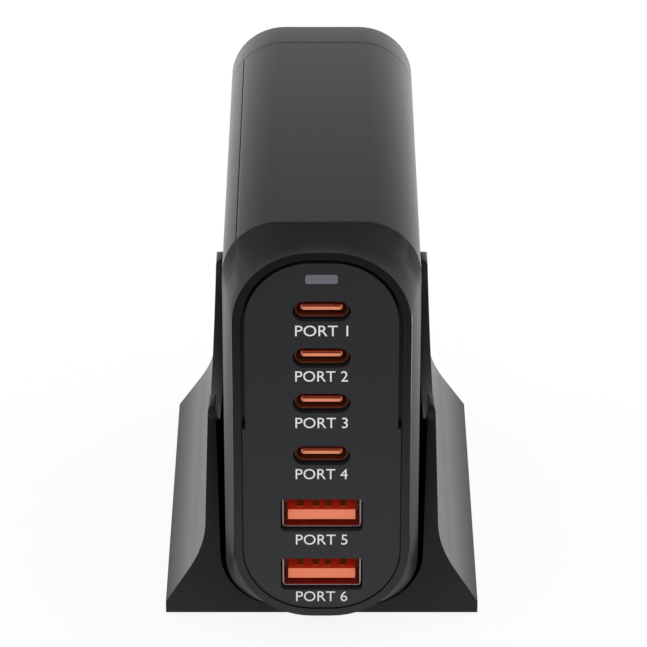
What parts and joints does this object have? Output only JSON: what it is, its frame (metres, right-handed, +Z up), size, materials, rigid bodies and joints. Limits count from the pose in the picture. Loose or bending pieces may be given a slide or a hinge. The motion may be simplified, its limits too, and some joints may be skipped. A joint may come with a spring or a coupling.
{
  "type": "multi port usb desktop charger",
  "caption": "Slim upright desktop charger with a hollowed nose, an oval panel of USB sockets and a small indicator bar, resting in a flared stand with scooped sides.",
  "frame": {"origin": "middle of the footprint of the whole object, on the surface it stands on", "axes": "+Z up, +Y towards the back, so the sockets face -Y; +X to the right seen from the front"},
  "size_m": [0.0524, 0.084, 0.0737],
  "materials": {
    "housing": "fine satin grain, black",
    "panel": "matt, black",
    "stand": "fine satin grain, black",
    "pads": "matt",
    "indicator": "frosted, grey blue",
    "lamp": "clear resin",
    "socket_metal": "drawn, plated",
    "socket_tongue": "orange red, satin",
    "contacts": "gold plated",
    "board": "green lacquer",
    "fasteners": "plated",
    "ferrite": "ground",
    "coated_core": "lacquered",
    "copper": "enamelled copper",
    "can_sleeve": "shrunk sleeve",
    "can": "drawn",
    "film": "yellow",
    "fuse_body": "glazed",
    "chip": "moulded",
    "sink": "rolled",
    "gap_pad": "soft",
    "sheet": "fish paper",
    "inlet": "moulded"
  },
  "bodies": {
    "root": {"main_shell": "housing", "side_cover": "housing", "rear_cap": "housing", "front_panel": "panel", "stand": "stand", "stand_pads": "pads", "light_guide": "indicator", "status_light": "lamp", "usb_c_shell_1": "socket_metal", "usb_c_shell_2": "socket_metal", "usb_c_shell_3": "socket_metal", "usb_c_shell_4": "socket_metal", "usb_a_shell_1": "socket_metal", "usb_a_shell_2": "socket_metal", "usb_c_tongue_1": "socket_tongue", "usb_c_tongue_2": "socket_tongue", "usb_c_tongue_3": "socket_tongue", "usb_c_tongue_4": "socket_tongue", "usb_a_tongue_1": "socket_tongue", "usb_a_tongue_2": "socket_tongue", "usb_c_contacts": "contacts", "usb_a_contacts": "contacts", "port_board": "board", "main_board": "board", "port_screws": "fasteners", "board_screws": "fasteners", "inlet_pins": "fasteners", "transformer_core": "ferrite", "port_coils": "ferrite", "choke_core": "coated_core", "transformer_winding": "copper", "choke_winding": "copper", "inlet_leads": "copper", "bulk_capacitors": "can_sleeve", "output_capacitors": "can", "film_capacitor": "film", "fuse": "fuse_body", "port_chips": "chip", "board_link": "chip", "bridge_rectifier": "chip", "power_transistors": "chip", "heat_sink": "sink", "thermal_pad": "gap_pad", "insulation_sheet": "sheet", "inlet_body": "inlet"}
  },
  "joints": []
}
